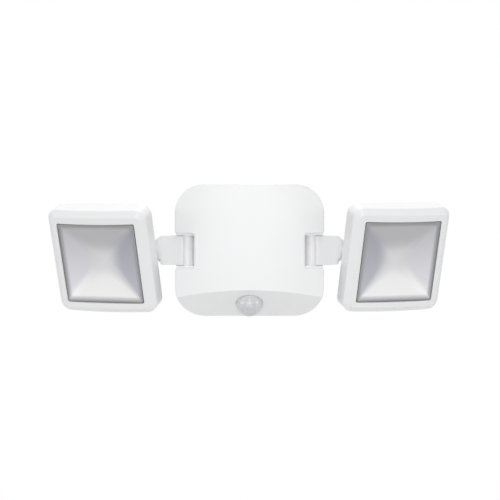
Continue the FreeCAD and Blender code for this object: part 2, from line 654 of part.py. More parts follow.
def lens_clip():
    back = -HOUSING_WALL - LENS_FLANGE_THICKNESS
    return tube(LENS_RADIUS + LENS_FLANGE_WIDTH, LENS_RADIUS - LENS_WALL,
                sensor_point(back - LENS_CLIP_THICKNESS), sensor_point(back))


def mode_switch_body():
    bottom = -HALF_HEIGHT + HOUSING_WALL
    length = SWITCH_KNOB_LENGTH + SWITCH_TRAVEL + 8.0
    middle = SWITCH_X + SWITCH_TRAVEL / 2
    body = block(middle - length / 2, middle + length / 2, SWITCH_Y - 5.0, SWITCH_Y + 5.0,
                 bottom, bottom + SWITCH_BODY_HEIGHT)
    return body.cut(switch_slot(PART_CLEARANCE, bottom - 1, bottom + SWITCH_BODY_HEIGHT - 1.5))


def mode_switch_slider():
    """Ribbed slider in its first position; it travels towards +X."""
    half_x = SWITCH_KNOB_LENGTH / 2
    half_y = SWITCH_KNOB_WIDTH / 2
    low = -HALF_HEIGHT + 0.1
    high = -HALF_HEIGHT + HOUSING_WALL + SWITCH_BODY_HEIGHT - 1.5 - PART_CLEARANCE
    knob = block(SWITCH_X - half_x, SWITCH_X + half_x, SWITCH_Y - half_y, SWITCH_Y + half_y,
                 low, high)
    grooves = [block(SWITCH_X + step - 0.3, SWITCH_X + step + 0.3, SWITCH_Y - half_y - 1,
                     SWITCH_Y + half_y + 1, low - 1, low + 0.6) for step in (-1.6, 0.0, 1.6)]
    return knob.cut(Part.makeCompound(grooves))


# ---------------------------------------------------------------- wall bracket
def lock_screw_y():
    return -WALL_GAP - SCREW_RADIUS - 0.9


def wall_bracket():
    body = plate(BRACKET_WIDTH, BRACKET_HEIGHT, 8.0, -BRACKET_THICKNESS, 0)
    pieces = [body]
    lug_bottom = -HALF_HEIGHT + HOUSING_WALL + PART_CLEARANCE
    pieces.append(block(-9, 9, -BRACKET_THICKNESS, 0, lug_bottom, -BRACKET_HEIGHT / 2 + 2))
    lug_front = PANEL_BACK_Y + PART_CLEARANCE
    pieces.append(block(-6, 6, lug_front, 0, lug_bottom, lug_bottom + 5))
    for x, z in hook_places():
        stem = block(x - HOOK_WIDTH / 2, x + HOOK_WIDTH / 2,
                     PANEL_FRONT_Y - PART_CLEARANCE - HOOK_THICKNESS, -BRACKET_THICKNESS + 0.5,
                     z - HOOK_THICKNESS / 2, z + HOOK_THICKNESS / 2)
        tip = block(x - HOOK_WIDTH / 2, x + HOOK_WIDTH / 2,
                    PANEL_FRONT_Y - PART_CLEARANCE - HOOK_THICKNESS,
                    PANEL_FRONT_Y - PART_CLEARANCE, z - HOOK_THICKNESS / 2,
                    z + HOOK_THICKNESS / 2 + 3.6)
        pieces += [stem, tip]
    bracket = joined(pieces)
    holes = []
    for sign in (-1, 1):
        x = sign * BRACKET_HOLE_SPACING / 2
        holes.append(rod(BRACKET_HOLE_RADIUS, V(x, 1, 0), V(x, -BRACKET_THICKNESS - 1, 0)))
    lock_y = lock_screw_y()
    holes.append(rod(SCREW_RADIUS, V(0, lock_y, lug_bottom - 1), V(0, lock_y, lug_bottom + 6)))
    return bracket.cut(Part.makeCompound(holes))


def bracket_lock_screw():
    seat = V(0, lock_screw_y(), -HALF_HEIGHT)
    return pan_screw(seat, AXIS_Z, 7.0)


# ---------------------------------------------------------------- arms, built pointing along +X
def yaw_pin(sign):
    return tube(YAW_PIN_RADIUS, YAW_PIN_BORE, V(sign * YAW_X, YAW_Y, -PIN_HALF_LENGTH),
                V(sign * YAW_X, YAW_Y, PIN_HALF_LENGTH))


def arm_screw_places():
    x = ARM_BLOCK_END - 8.0
    z = ARM_HEIGHT / 2 - ARM_WALL - ARM_POST_RADIUS + ARM_POST_OVERLAP
    return ((x, z), (x, -z))


def arm_pocket(grow, y_front, y_back):
    """Room for the lead inside the block, open at the back."""
    x0 = HUB_RADIUS + ARM_WALL - grow
    x1 = ARM_BLOCK_END - ARM_WALL - ARM_END_RADIUS / 2 + grow
    half = ARM_HEIGHT / 2 - ARM_WALL + grow
    return block(x0, x1, y_front, y_back, -half, half)


def arm():
    half_z = ARM_HEIGHT / 2
    body = block(ARM_BLOCK_START, ARM_BLOCK_END, -ARM_HALF, ARM_HALF, -half_z, half_z)
    body = body.makeFillet(ARM_END_RADIUS, edges_of(body, lambda edge: all(
        abs(vertex.Point.x - ARM_BLOCK_END) < 1e-6 for vertex in edge.Vertexes)))
    body = body.makeFillet(ARM_INNER_RADIUS, edges_of(body, lambda edge: is_along(edge, AXIS_Z)
                           and abs(edge.Vertexes[0].Point.x - ARM_BLOCK_START) < 1e-6))
    hub_half = NOTCH_HEIGHT / 2 - YAW_WASHER_THICKNESS
    hub = rod(HUB_RADIUS, V(0, 0, -hub_half), V(0, 0, hub_half))
    hub = hub.makeChamfer(HUB_CHAMFER, edges_of(hub, lambda edge: not is_along(edge, AXIS_Z)))
    neck = rod(NECK_RADIUS, V(ARM_BLOCK_END - ARM_END_RADIUS - 1, 0, 0), V(NECK_END, 0, 0))
    journal = rod(JOURNAL_RADIUS, V(NECK_END - 1, 0, 0), V(JOURNAL_END, 0, 0))
    body = joined([body, hub, neck, journal])
    body = body.cut(arm_pocket(0, -ARM_HALF + ARM_WALL, ARM_HALF + 1))
    body = body.cut(arm_pocket(1.0, ARM_HALF - ARM_COVER_THICKNESS, ARM_HALF + 1))
    posts = [rod(ARM_POST_RADIUS, V(x, -ARM_HALF + ARM_WALL - 0.5, z),
                 V(x, ARM_HALF - ARM_COVER_THICKNESS, z)) for x, z in arm_screw_places()]
    body = joined([body] + posts)
    holes = [rod(1.0, V(x, ARM_HALF - ARM_COVER_THICKNESS - 8, z), V(x, ARM_HALF + 1, z))
             for x, z in arm_screw_places()]
    holes.append(rod(YAW_PIN_RADIUS + RUNNING_CLEARANCE, V(0, 0, -hub_half - 1),
                     V(0, 0, hub_half + 1)))
    holes.append(rod(SCREW_RADIUS, V(JOURNAL_END - 9, 0, 0), V(JOURNAL_END + 1, 0, 0)))
    lead_way = rod(LEAD_RADIUS, V(ARM_BLOCK_END - ARM_WALL - ARM_END_RADIUS, 0, 0),
                   V(HEAD_REACH + LEAD_RADIUS, 0, 0))
    outlet = rod(LEAD_OUTLET_RADIUS, V(HEAD_REACH, 0, 0), V(HEAD_REACH, -NECK_RADIUS, 0))
    holes.append(joined([lead_way, outlet]))
    return body.cut(Part.makeCompound(holes))


def arm_cover():
    cover = arm_pocket(1.0 - PART_CLEARANCE / 2, ARM_HALF - ARM_COVER_THICKNESS, ARM_HALF)
    holes = [rod(1.2, V(x, 0, z), V(x, ARM_HALF + 1, z)) for x, z in arm_screw_places()]
    sinks = [Part.makeCone(1.2, 2.2, 1.0, V(x, ARM_HALF - 1.0, z), AXIS_Y)
             for x, z in arm_screw_places()]
    return cover.cut(Part.makeCompound(holes + sinks))


def arm_screws():
    """Small countersunk screws of the arm cover."""
    screws = []
    for x, z in arm_screw_places():
        shank = rod(0.95, V(x, ARM_HALF - 8, z), V(x, ARM_HALF - 0.9, z))
        head = Part.makeCone(1.15, 2.1, 0.95, V(x, ARM_HALF - 1.0, z), AXIS_Y)
        slot = block(x - 1.5, x + 1.5, ARM_HALF - 0.6, ARM_HALF + 1, z - 0.25, z + 0.25)
        screws.append(joined([shank, head]).cut(slot))
    return Part.makeCompound(screws)


def arm_lead():
    """Two-core lead from the arm's pocket through the neck to the tilt axis."""
    half_z = ARM_HEIGHT / 2 - ARM_WALL
    x0 = HUB_RADIUS + ARM_WALL + LEAD_RADIUS + 1.0
    bend = 4.0
    rise = rod(LEAD_RADIUS, V(x0, 0, -half_z + 1.0), V(x0, 0, -bend))
    corner = Part.Arc(V(x0, 0, -bend), V(x0 + bend * (1 - cos(pi / 4)), 0, -bend * (1 - sin(pi / 4))),
                      V(x0 + bend, 0, 0)).toShape()
    section = Part.Wire([Part.makeCircle(LEAD_RADIUS, V(x0, 0, -bend), AXIS_Z)])
    elbow = Part.Wire([corner]).makePipeShell([section], True, True)
    run = rod(LEAD_RADIUS, V(x0 + bend, 0, 0), V(HEAD_REACH - LEAD_RADIUS, 0, 0))
    return joined([rise, elbow, run])


def yaw_washers():
    """Friction washers between the arm's hub and the notch."""
    top = NOTCH_HEIGHT / 2
    return Part.makeCompound([
        tube(YAW_WASHER_RADIUS, YAW_PIN_RADIUS + RUNNING_CLEARANCE,
             V(0, 0, level * (top - YAW_WASHER_THICKNESS)), V(0, 0, level * top))
        for level in (-1, 1)])


def tilt_washers():
    """A washer at the shoulder of the neck and a wide one under the tilt screw."""
    inner = tube(NECK_RADIUS, JOURNAL_RADIUS, V(NECK_END, 0, 0),
                 V(NECK_END + WASHER_THICKNESS - 0.05, 0, 0))
    outer = tube(NECK_RADIUS, SCREW_RADIUS, V(JOURNAL_END, 0, 0), V(JOURNAL_END + 1.0, 0, 0))
    return Part.makeCompound([inner, outer])


def tilt_screw():
    return pan_screw(V(JOURNAL_END + 1.0, 0, 0), V(-1, 0, 0), 9.0)


# ---------------------------------------------------------------- heads, built on the tilt axis
def head_form(inset, y_back):
    """Outer form of a head, from its curved front back to y_back."""
    form = plate(HEAD_WIDTH - 2 * inset, HEAD_HEIGHT - 2 * inset, HEAD_CORNER - inset,
                 HEAD_FRONT_Y - 1, y_back)
    barrel = Part.makeCylinder(FRONT_RADIUS - inset, 2 * HEAD_HEIGHT,
                               V(0, HEAD_FRONT_Y + FRONT_RADIUS, -HEAD_HEIGHT), AXIS_Z)
    return form.common(barrel)


def bevel_front(form):
    """Cuts the wide bevel all round the curved front."""
    def on_rim(edge):
        return all(abs(front_depth(vertex.Point.x) - vertex.Point.y) < 1e-4
                   for vertex in edge.Vertexes)

    bevelled = form.makeChamfer(BEVEL_DEPTH, BEVEL_WIDTH, edges_of(form, on_rim))
    kinds_at = {}
    for face in bevelled.Faces:
        for edge in face.Edges:
            kinds_at.setdefault(edge.hashCode(), (edge, set()))[1].add(head_face_kind(face))
    soft = [edge for edge, kinds in kinds_at.values() if "bevel" in kinds and len(kinds) == 2]
    return bevelled.makeFillet(HEAD_EDGE_RADIUS, soft)


def head_face_kind(face):
    surface = face.Surface
    if isinstance(surface, Part.Cylinder) and abs(surface.Radius - FRONT_RADIUS) < 1e-3:
        return "front"
    if isinstance(surface, Part.Cylinder) and abs(surface.Axis.y) > 0.999:
        return "side"
    if isinstance(surface, Part.Plane) and abs(surface.Axis.y) < 1e-6:
        return "side"
    if isinstance(surface, Part.Plane) and abs(surface.Axis.y) > 0.999:
        return "back"
    return "bevel"


def front_depth(x):
    """Depth of a head's curved front at x."""
    return HEAD_FRONT_Y + FRONT_RADIUS - sqrt(FRONT_RADIUS ** 2 - x ** 2)


def head_screw_places():
    return [(sx * HEAD_SCREW_X, sz * HEAD_SCREW_Z) for sx in (-1, 1) for sz in (-1, 1)]


def head_housing():
    """Front moulding of a head: bevelled frame, side walls and the wall of the recess."""
    outer = bevel_front(head_form(0.0, HEAD_SPLIT_Y))
    inner = head_form(HEAD_WALL, HEAD_SPLIT_Y + 1)
    inner = inner.common(plate(HEAD_WIDTH, HEAD_HEIGHT, HEAD_CORNER,
                               HEAD_FRONT_Y + BEVEL_DEPTH + HEAD_WALL + 1.4, HEAD_SPLIT_Y + 1))
    funnel = plate(WINDOW_WIDTH + 2 * WINDOW_WALL, WINDOW_HEIGHT + 2 * WINDOW_WALL,
                   WINDOW_CORNER + WINDOW_WALL, HEAD_FRONT_Y, DIFFUSER_Y, 0, -WINDOW_DROP)
    body = outer.cut(inner.cut(funnel))
    bosses = [rod(SCREW_BOSS_RADIUS, V(x, HEAD_SPLIT_Y, z), V(x, HEAD_FRONT_Y, z)).common(inner)
              for x, z in head_screw_places()]
    body = joined([body] + bosses)
    holes = [plate(WINDOW_WIDTH, WINDOW_HEIGHT, WINDOW_CORNER, HEAD_FRONT_Y - 1, HEAD_SPLIT_Y + 1,
                   0, -WINDOW_DROP),
             plate(diffuser_width() + 2 * PART_CLEARANCE, diffuser_height() + 2 * PART_CLEARANCE,
                   3.0, DIFFUSER_Y, HEAD_SPLIT_Y + 1, 0, -WINDOW_DROP)]
    for x, z in head_screw_places():
        holes.append(rod(SCREW_RADIUS, V(x, HEAD_SPLIT_Y + 1, z), V(x, HEAD_SPLIT_Y - 9, z)))
    return body.cut(Part.makeCompound(holes))


def diffuser_width():
    return WINDOW_WIDTH + 2 * DIFFUSER_FLANGE_WIDTH


def diffuser_height():
    return WINDOW_HEIGHT + 2 * DIFFUSER_FLANGE_WIDTH


def bowl_arcs(radius, y):
    """Circle of the front view as eight arcs that pair with the edges of a rounded square."""
    edges = []
    wide = radians(60)
    narrow = radians(30)
    start = -pi / 2 - wide / 2
    place = front_view(y)
    for step in range(8):
        span = wide if step % 2 == 0 else narrow
        angles = (start, start + span / 2, start + span)
        points = [place(radius * cos(a), -WINDOW_DROP + radius * sin(a)) for a in angles]
        edges.append(Part.Arc(*points).toShape())
        start += span
    return edges


def rim_edges(y):
    """Rim of the dish: bottom line, corner arc, right line and so on round."""
    place = front_view(y)
    edges = []
    half_u = WINDOW_WIDTH / 2 - DIFFUSER_RIM_INSET_X
    half_v = WINDOW_HEIGHT / 2 - DIFFUSER_RIM_INSET_Z
    radius = DIFFUSER_RIM_RADIUS
    middle = radius * (1 - cos(pi / 4))
    for quarter in range(4):
        turn = quarter * pi / 2
        along, off = (half_u, half_v) if quarter % 2 == 0 else (half_v, half_u)

        def at(s, d):
            return place(s * cos(turn) + d * sin(turn),
                         -WINDOW_DROP + s * sin(turn) - d * cos(turn))

        edges.append(Part.makeLine(at(-along + radius, off), at(along - radius, off)))
        edges.append(Part.Arc(at(along - radius, off), at(along - middle, off - middle),
                              at(along, off - radius)).toShape())
    return edges


def dish(y_rim):
    """Hollow with four flat sides and soft creases that ends in a round bowl."""
    slope = radians(DISH_SLOPE)
    run = (WINDOW_WIDTH + WINDOW_HEIGHT) / 4 - (DIFFUSER_RIM_INSET_X + DIFFUSER_RIM_INSET_Z) / 2
    y_bowl = y_rim + (run - DISH_BOWL_RADIUS) * tan(slope)
    rim = rim_edges(y_rim)
    bowl = bowl_arcs(DISH_BOWL_RADIUS, y_bowl)
    sides = [Part.makeRuledSurface(low, high) for low, high in zip(rim, bowl)]
    faces = sides + [Part.Face(Part.Wire(rim)), Part.Face(Part.Wire(bowl))]
    shell = Part.makeShell([face for piece in faces for face in piece.Faces])
    shell.sewShape()
    sphere_radius = DISH_BOWL_RADIUS / sin(slope)
    centre = V(0, y_bowl - sphere_radius * cos(slope), -WINDOW_DROP)
    sphere = Part.makeSphere(sphere_radius, centre)
    cap = sphere.common(rod(DISH_BOWL_RADIUS + 1, V(0, y_bowl, -WINDOW_DROP),
                            V(0, y_bowl + DISH_BOWL_RADIUS, -WINDOW_DROP)))
    return Part.makeSolid(shell).fuse(cap)


def skirt(inset, y_back, y_rim):
    """Body of the diffuser: sides that slope in from the window's wall to the rim."""
    foot = DIFFUSER_GAP + inset
    low = rounded_wire(rectangle_corners(WINDOW_WIDTH - 2 * foot, WINDOW_HEIGHT - 2 * foot,
                                         DIFFUSER_RIM_RADIUS, 0, -WINDOW_DROP), front_view(y_back))
    high = rounded_wire(rectangle_corners(
        WINDOW_WIDTH - 2 * (DIFFUSER_RIM_INSET_X + inset) + 1.2,
        WINDOW_HEIGHT - 2 * (DIFFUSER_RIM_INSET_Z + inset) + 1.2,
        DIFFUSER_RIM_RADIUS + 0.6, 0, -WINDOW_DROP), front_view(y_rim))
    return Part.makeLoft([low, high], True, True)


def diffuser():
    """Satin lens on a flange: sloping sides, a raised rim and a dished front."""
    y_rim = HEAD_FRONT_Y + DIFFUSER_RIM_DEPTH
    flange = plate(diffuser_width(), diffuser_height(), 3.0, DIFFUSER_Y,
                   DIFFUSER_Y + DIFFUSER_WALL, 0, -WINDOW_DROP)
    body = joined([flange, skirt(0.0, DIFFUSER_Y + 0.01, y_rim)]).cut(dish(y_rim))
    hollow = skirt(DIFFUSER_WALL, DIFFUSER_Y + DIFFUSER_WALL + 0.01, y_rim + DIFFUSER_WALL)
    return body.cut(hollow.cut(dish(y_rim + DIFFUSER_WALL)))


def head_back():
    """Rear cover of a head with the barrel that turns on the arm's journal."""
    cover = plate(HEAD_WIDTH, HEAD_HEIGHT, HEAD_CORNER, HEAD_SPLIT_Y, HEAD_REAR_Y)
    cover = cover.makeFillet(HEAD_BACK_RADIUS, edges_of(cover, lambda edge: all(
        abs(vertex.Point.y - HEAD_REAR_Y) < 1e-6 for vertex in edge.Vertexes)))
    half = BARREL_LENGTH / 2
    barrel = rod(BARREL_RADIUS, V(-half, 0, 0), V(half, 0, 0))
    saddle = block(-half, half, HEAD_REAR_Y - 0.5, -BARREL_RADIUS * 0.3, -BARREL_RADIUS * 0.85,
                   BARREL_RADIUS * 0.85)
    gussets = []
    for x in (-half + 3.0, half - 3.0):
        for level in (-1, 1):
            foot = HEAD_REAR_Y - 0.5
            points = [V(x - 1.2, foot, 0), V(x - 1.2, foot, level * 26.0),
                      V(x - 1.2, foot + 1.2, level * 26.0),
                      V(x - 1.2, -BARREL_RADIUS * 0.1, level * BARREL_RADIUS * 0.9),
                      V(x - 1.2, -BARREL_RADIUS * 0.1, 0), V(x - 1.2, foot, 0)]
            gussets.append(Part.Face(Part.makePolygon(points)).extrude(AXIS_X * 2.4))
    body = joined([cover, barrel, saddle] + gussets)
    holes = [rod(JOURNAL_RADIUS + RUNNING_CLEARANCE, V(-half - 1, 0, 0), V(half + 1, 0, 0)),
             rod(LEAD_OUTLET_RADIUS, V(0, 0, 0), V(0, HEAD_SPLIT_Y - 1, 0))]
    for x, z in head_screw_places():
        holes.append(rod(SCREW_RADIUS + 0.2, V(x, HEAD_SPLIT_Y - 1, z), V(x, 0, z)))
        holes.append(rod(SCREW_HEAD_RADIUS + 0.3, V(x, HEAD_REAR_Y - 1.2, z),
                         V(x, HEAD_REAR_Y + 5, z)))
    groove = head_gasket_ring(HEAD_SPLIT_Y - 1)
    return body.cut(Part.makeCompound(holes + [groove]))


def head_gasket_ring(y_front):
    inset = (HEAD_WALL - GASKET_WIDTH) / 2
    return ring(HEAD_WIDTH - 2 * inset, HEAD_HEIGHT - 2 * inset, HEAD_CORNER - inset,
                GASKET_WIDTH, y_front, HEAD_SPLIT_Y + GASKET_THICKNESS)


def head_gasket():
    return head_gasket_ring(HEAD_SPLIT_Y)


def head_screws():
    return Part.makeCompound([pan_screw(V(x, HEAD_REAR_Y - 1.2, z), V(0, -1, 0), 9.0)
                              for x, z in head_screw_places()])


def light_tray():
    """White sloping frame between the LED board and the diffuser."""
    y_back = HEAD_SPLIT_Y
    y_front = DIFFUSER_Y + DIFFUSER_WALL
    outer_wires = []
    inner_wires = []
    for y, width, height in ((y_front, diffuser_width(), diffuser_height()),
                             (y_back, LED_BOARD_SIZE + 10, LED_BOARD_SIZE + 10)):
        outer_wires.append(rounded_wire(rectangle_corners(width, height, 3.0, 0, -WINDOW_DROP),
                                        front_view(y)))
        inner_wires.append(rounded_wire(rectangle_corners(width - 5, height - 5, 2.0, 0,
                                                          -WINDOW_DROP), front_view(y)))
    outer = Part.makeLoft(outer_wires, True, True)
    return outer.cut(Part.makeLoft(inner_wires, True, True))


def led_board():
    return plate(LED_BOARD_SIZE, LED_BOARD_SIZE, 2.0, HEAD_SPLIT_Y - BOARD_THICKNESS,
                 HEAD_SPLIT_Y, 0, -WINDOW_DROP)


def leds():
    front = HEAD_SPLIT_Y - BOARD_THICKNESS
    first = -LED_PITCH * (LEDS_PER_SIDE - 1) / 2
    chips = []
    for row in range(LEDS_PER_SIDE):
        for column in range(LEDS_PER_SIDE):
            x = first + column * LED_PITCH
            z = first + row * LED_PITCH - WINDOW_DROP
            chips.append(block(x - 1.75, x + 1.75, front - 0.8, front, z - 1.4, z + 1.4))
    return Part.makeCompound(chips)


# ---------------------------------------------------------------- placing the two sides
def place_arm_shape(shape, sign, yaw):
    """Moves a shape built on the yaw axis, pointing along +X, to its side."""
    placed = shape.copy()
    if sign < 0:
        placed = placed.mirror(ORIGIN, AXIS_X)
    placed.rotate(ORIGIN, AXIS_Z, sign * yaw)
    placed.translate(V(sign * YAW_X, YAW_Y, 0))
    return placed


def place_head_shape(shape, sign, yaw, tilt):
    """Tilts a shape built on the tilt axis, then moves it out along the arm."""
    tilted = shape.copy()
    tilted.rotate(ORIGIN, AXIS_X, tilt)
    tilted.translate(AXIS_X * HEAD_REACH)
    return place_arm_shape(tilted, sign, yaw)


SIDES = {"left": (-1, LEFT_YAW, LEFT_TILT), "right": (1, RIGHT_YAW, RIGHT_TILT)}

CENTRE_NODES = {
    "front_housing": front_housing,
    "housing_gasket": housing_gasket,
    "rear_cover": rear_cover,
    "housing_screws": housing_screws,
    "battery_door": battery_door,
    "battery_door_gasket": battery_door_gasket,
    "battery_door_screws": battery_door_screws,
    "battery_cells": battery_cells,
    "battery_contacts": battery_contacts,
    "control_board": control_board,
    "board_components": board_components,
    "sensor_board": sensor_board,
    "motion_sensor": motion_sensor,
    "sensor_lens": sensor_lens,
    "lens_clip": lens_clip,
    "mode_switch_body": mode_switch_body,
    "mode_switch_slider": mode_switch_slider,
    "wall_bracket": wall_bracket,
    "bracket_lock_screw": bracket_lock_screw,
}

ARM_NODES = {
    "arm": arm,
    "arm_cover": arm_cover,
    "arm_screws": arm_screws,
    "arm_lead": arm_lead,
    "yaw_washers": yaw_washers,
    "tilt_washers": tilt_washers,
    "tilt_screw": tilt_screw,
}

HEAD_NODES = {
    "head_housing": head_housing,
    "head_back": head_back,
    "head_gasket": head_gasket,
    "head_screws": head_screws,
    "diffuser": diffuser,
    "light_tray": light_tray,
    "led_board": led_board,
    "leds": leds,
}


def export(name, shape):
    shape.exportStep("parts/%s.step" % name)


def main():
    os.makedirs("parts", exist_ok=True)
    for name, make in CENTRE_NODES.items():
        export(name, make())
    arm_shapes = {name: make() for name, make in ARM_NODES.items()}
    head_shapes = {name: make() for name, make in HEAD_NODES.items()}
    for side, (sign, yaw, tilt) in SIDES.items():
        export(side + "_yaw_pin", yaw_pin(sign))
        for name, shape in arm_shapes.items():
            export("%s_%s" % (side, name), place_arm_shape(shape, sign, yaw))
        for name, shape in head_shapes.items():
            export("%s_%s" % (side, name), place_head_shape(shape, sign, yaw, tilt))


main()
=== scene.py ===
import json
import math

import bmesh
import bpy
from mathutils import Matrix, Vector


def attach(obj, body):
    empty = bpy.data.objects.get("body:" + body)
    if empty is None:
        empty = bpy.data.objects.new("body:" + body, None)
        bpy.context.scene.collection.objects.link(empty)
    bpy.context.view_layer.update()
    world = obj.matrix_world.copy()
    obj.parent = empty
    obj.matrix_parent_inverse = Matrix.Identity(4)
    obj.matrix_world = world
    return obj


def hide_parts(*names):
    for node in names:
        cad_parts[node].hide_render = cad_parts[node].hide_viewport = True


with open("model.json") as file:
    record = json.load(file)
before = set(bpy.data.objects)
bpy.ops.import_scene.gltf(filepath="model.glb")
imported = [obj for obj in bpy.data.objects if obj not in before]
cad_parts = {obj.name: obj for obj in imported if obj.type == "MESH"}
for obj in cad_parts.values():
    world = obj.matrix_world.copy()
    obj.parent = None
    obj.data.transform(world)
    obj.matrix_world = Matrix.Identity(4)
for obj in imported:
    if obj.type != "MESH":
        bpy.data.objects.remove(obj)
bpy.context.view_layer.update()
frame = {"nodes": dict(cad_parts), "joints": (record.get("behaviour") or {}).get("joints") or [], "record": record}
MM = 0.001                       # Blender works in metres

# ---------------------------------------------------------------- sizes shared with the solids
SIDES = {"left": -1, "right": 1}                 # sign of x
HEAD_TILT = {"left": 19.0, "right": 16.3}        # degrees downwards, as in the photo
TILT_SETBACK = 37.5 * MM         # front of a head to its tilt axis
WINDOW_WIDTH = 77.7 * MM
WINDOW_HEIGHT = 79.3 * MM
WINDOW_DROP = 0.6 * MM           # middle of the window below the tilt axis
LENS_GAP = 0.7 * MM              # between a lens and its window
LENS_WALL = 1.8 * MM
LENS_CORNER = 2.2 * MM
LENS_RIM_HALF = 34.3 * MM        # middle of the lens to the edge of its dish
LENS_RIM_DEPTH = 3.2 * MM        # front of the head to the rim of the dish
LENS_FLANGE_DEPTH = 11.0 * MM    # front of the head to the flange behind the window
LENS_FLANGE_WIDTH = 3.4 * MM     # how far the flange reaches beyond the window
ARM_HALF_DEPTH = 8.5 * MM
ARM_HALF_HEIGHT = 13.65 * MM
ARM_ROUND = 3.0 * MM


def joint_point(name):
    """Point on the axis of a joint."""
    return next(Vector(joint["pos_m"]) for joint in frame["joints"] if joint["name"] == name)


def pivot_matrix(side):
    """Places a point that is given about one yaw axis: x outwards, y to the back, z up."""
    mirror = Matrix.Diagonal((SIDES[side], 1.0, 1.0, 1.0))
    return Matrix.Translation(joint_point(side + "_arm_yaw")) @ mirror


def arm_matrix(side):
    """The same, with x along the arm towards the head."""
    tilt_point = pivot_matrix(side).inverted() @ joint_point(side + "_head_tilt")
    return pivot_matrix(side) @ Matrix.Rotation(math.atan2(tilt_point.y, tilt_point.x), 4, "Z")


def head_matrix(side):
    """Places a point that is given about one tilt axis, in the frame of the head."""
    reach = (joint_point(side + "_head_tilt") - joint_point(side + "_arm_yaw")).length
    tilt = Matrix.Rotation(math.radians(HEAD_TILT[side]), 4, "X")
    return arm_matrix(side) @ Matrix.Translation((reach, 0, 0)) @ tilt


# ---------------------------------------------------------------- materials
RAMP_START, RAMP_END = 0.15, 0.85        # stretch of a texture over which one shade turns to another


def grey(level):
    return (level, level, level)


class Nodes:
    """Builds the node tree of one material around a Principled shader."""

    def __init__(self, name):
        self.material = bpy.data.materials.new(name)
        self.material.use_nodes = True
        self.tree = self.material.node_tree
        self.shader = self.tree.nodes["Principled BSDF"]

    def add(self, kind, **values):
        """Adds a node; each value is a property of it or the input of that name."""
        node = self.tree.nodes.new("ShaderNode" + kind)
        for key, value in values.items():
            if hasattr(node, key):
                setattr(node, key, value)
            else:
                node.inputs[key.replace("_", " ")].default_value = value
        return node

    def link(self, start, end):
        self.tree.links.new(start, end)

    def feed(self, socket, value):
        """Links a socket, or sets its plain value or colour."""
        if isinstance(value, bpy.types.NodeSocket):
            self.link(value, socket)
        elif isinstance(value, tuple):
            socket.default_value = (*value, 1.0)
        elif value is not None:
            socket.default_value = value

    def set(self, **values):
        """Sets inputs of the shader."""
        for key, value in values.items():
            self.shader.inputs[key.replace("_", " ")].default_value = value

    def position(self):
        return self.add("TexCoord").outputs["Object"]

    def noise(self, scale, detail):
        node = self.add("TexNoise", Scale=scale, Detail=detail)
        self.link(self.position(), node.inputs["Vector"])
        return node.outputs["Fac"]

    def math(self, operation, first, second=None):
        node = self.add("Math", operation=operation)
        for socket, value in zip(node.inputs, (first, second)):
            self.feed(socket, value)
        return node.outputs["Value"]

    def spread(self, factor, low, high, start=0.1, end=0.9):
        """Goes from low to high as the factor goes from start to end."""
        node = self.add("MapRange", From_Min=start, From_Max=end, To_Min=low, To_Max=high)
        self.link(factor, node.inputs["Value"])
        return node.outputs["Result"]

    def step(self, value, soft):
        """Rises smoothly from 0 to 1 as the value goes from -soft to soft."""
        node = self.add("MapRange", interpolation_type="SMOOTHSTEP")
        self.feed(node.inputs["Value"], value)
        self.feed(node.inputs["From Min"], self.math("MULTIPLY", soft, -1.0))
        self.feed(node.inputs["From Max"], soft)
        return node.outputs["Result"]

    def blend(self, factor, first, second, kind="MIX"):
        """Goes from the first colour to the second one, or applies the second one to the first."""
        node = self.add("Mix", data_type="RGBA", blend_type=kind)
        self.feed(node.inputs["Factor"], factor)
        self.feed(node.inputs["A"], first)
        self.feed(node.inputs["B"], second)
        return node.outputs["Result"]

    def colour(self, colour):
        self.link(colour, self.shader.inputs["Base Color"])

    def shade_between(self, factor, dark, light):
        """Colours the surface with a ramp from dark to light."""
        ramp = self.add("ValToRGB")
        for stop, position, colour in zip(ramp.color_ramp.elements, (RAMP_START, RAMP_END), (dark, light)):
            stop.position = position
            stop.color = (*colour, 1)
        self.link(factor, ramp.inputs["Fac"])
        self.colour(ramp.outputs["Color"])

    def rough(self, factor, low, high):
        self.link(self.spread(factor, low, high), self.shader.inputs["Roughness"])

    def bump(self, height, strength, distance):
        node = self.add("Bump", Strength=strength, Distance=distance)
        self.link(height, node.inputs["Height"])
        self.link(node.outputs["Normal"], self.shader.inputs["Normal"])


def moulded_plastic(name, dark, light, roughness, coat=0.0):
    """Injection-moulded plastic: fine spark texture, slight flow variation and gloss variation."""
    nodes = Nodes(name)
    nodes.shade_between(nodes.noise(scale=22.0, detail=1.0), dark, light)
    nodes.rough(nodes.noise(scale=35.0, detail=1.0), roughness - 0.02, roughness + 0.02)
    nodes.bump(nodes.noise(scale=2600.0, detail=2.0), strength=0.04, distance=0.05 * MM)
    nodes.set(IOR=1.49, Coat_Weight=coat, Coat_Roughness=0.2, Coat_IOR=1.5)
    return nodes.material


# Painted light and shade of a lens; places in it are given in halves of its dish, from the middle
LENS_PAINTED_SHADES = {
    "upper": (0.49, 0.485, 0.505),       # painted shade of the four sides: lighter below, darker above and at the sides
    "lower": (0.865, 0.855, 0.855),
    "outer": (0.605, 0.605, 0.64),
    "inner": (0.405, 0.41, 0.455),
    "middle": (0.71, 0.70, 0.715),
    # painted highlight along the outer lower crease
    "painted_ridge": (0.96, 0.955, 0.94),
    # painted shade of the border by the window gap, darkest on the outer side
    "edge": (0.31, 0.31, 0.325),
    "outer_edge": (0.17, 0.17, 0.18),
}
CREASE_SOFTNESS = (0.6, 0.1)     # between two sides: in the middle, at the rim
PAINTED_SIDE_LIGHT = (1.28, 0.86)        # painted light of the outer and inner side: at the foot, at the top
MIDDLE_SIZE = 0.3
MIDDLE_SOFTNESS = 0.32
PAINTED_RIDGE_HIGHLIGHT = 0.75               # painted highlight along the crease to the outer lower corner
RIDGE_WIDTH = 0.22
RIDGE_SPAN = (0.5, 1.7)
LENS_SHADED_BORDER = (0.975, 1.10)      # start and end of the painted shade along the border
